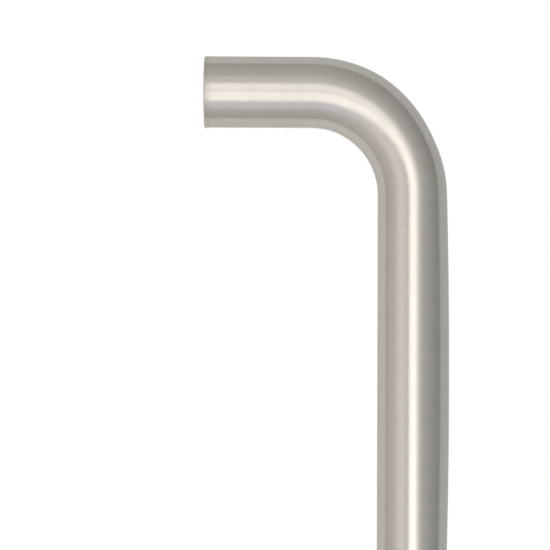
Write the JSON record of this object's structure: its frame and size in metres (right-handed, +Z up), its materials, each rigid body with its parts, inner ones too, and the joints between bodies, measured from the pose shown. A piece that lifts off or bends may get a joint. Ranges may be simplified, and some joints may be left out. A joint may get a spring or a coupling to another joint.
{
  "type": "d pull handle",
  "caption": "D-shaped pull handle of bent round satin steel tube, fixed through the door by a bolt into the tapped plug in each end.",
  "frame": {"origin": "on the door's face, midway between the two fixings", "axes": "+Z up along the grip, +Y into the door, so the handle stands out towards -Y; +X across the grip"},
  "size_m": [0.019, 0.065, 0.169],
  "materials": {
    "satin_steel": "satin stainless steel, finely brushed round the tube",
    "turned_steel": "turned stainless steel, faced in the lathe"
  },
  "bodies": {
    "root": {"grip_tube": "satin_steel", "upper_end_plug": "turned_steel", "lower_end_plug": "turned_steel"}
  },
  "joints": []
}
